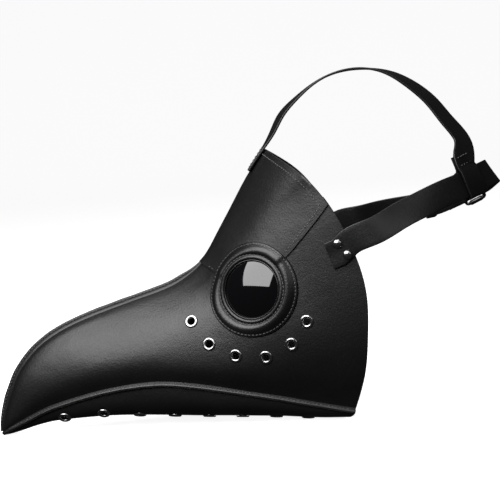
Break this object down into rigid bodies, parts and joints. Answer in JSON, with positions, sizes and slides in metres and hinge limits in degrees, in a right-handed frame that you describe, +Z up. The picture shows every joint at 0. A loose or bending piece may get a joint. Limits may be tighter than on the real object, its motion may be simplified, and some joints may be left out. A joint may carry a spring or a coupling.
{
  "type": "plague doctor mask",
  "caption": "Leather beaked mask with round dark lenses, breathing eyelets, rear and crown straps and a pin buckle.",
  "frame": {"origin": "middle of the overall length, on the mirror plane, at the level of the floor the mask stands on", "axes": "+Z up, the beak points along -X, the wearer's left side is at -Y"},
  "size_m": [0.4395, 0.1511, 0.289],
  "materials": {
    "mask_leather": "satin",
    "ring_leather": "satin",
    "strap_leather": "satin",
    "lining": "matte",
    "lens": "gloss",
    "cup": "gloss",
    "nickel": "polished",
    "black_metal": "gloss"
  },
  "bodies": {
    "mask": {"left_side_panel": "mask_leather", "right_side_panel": "mask_leather", "forehead_panel": "mask_leather", "chin_panel": "mask_leather", "left_eye_ring": "ring_leather", "right_eye_ring": "ring_leather", "left_lens": "lens", "right_lens": "lens", "left_lens_cup": "cup", "right_lens_cup": "cup", "left_eye_backing": "lining", "right_eye_backing": "lining", "left_cheek_eyelets": "nickel", "right_cheek_eyelets": "nickel", "left_cheek_washers": "nickel", "right_cheek_washers": "nickel", "chin_eyelets": "nickel", "chin_washers": "nickel", "left_strap": "strap_leather", "right_strap": "strap_leather", "left_rivets": "nickel", "right_rivets": "nickel", "left_rivet_caps": "nickel", "right_rivet_caps": "nickel", "crown_strap": "strap_leather"},
    "buckle_frame": {"buckle_frame": "black_metal"},
    "buckle_prong": {"buckle_prong": "black_metal"},
    "strap_keeper": {"strap_keeper": "strap_leather"}
  },
  "joints": [
    {"name": "buckle_hinge", "type": "hinge", "parent": "mask", "child": "buckle_frame", "pos_m": [0.1907, 0.0245, 0.1775], "axis": [-0.4225, 0.0466, 0.9052], "range_deg": [0, 8]},
    {"name": "prong_hinge", "type": "hinge", "parent": "buckle_frame", "child": "buckle_prong", "pos_m": [0.1907, 0.0245, 0.1775], "axis": [-0.4225, 0.0466, 0.9052], "range_deg": [0, 6]},
    {"name": "keeper_slide", "type": "slide", "parent": "mask", "child": "strap_keeper", "axis": [0.8415, -0.5087, 0.1821], "range_m": [-0.004, 0.006]}
  ]
}
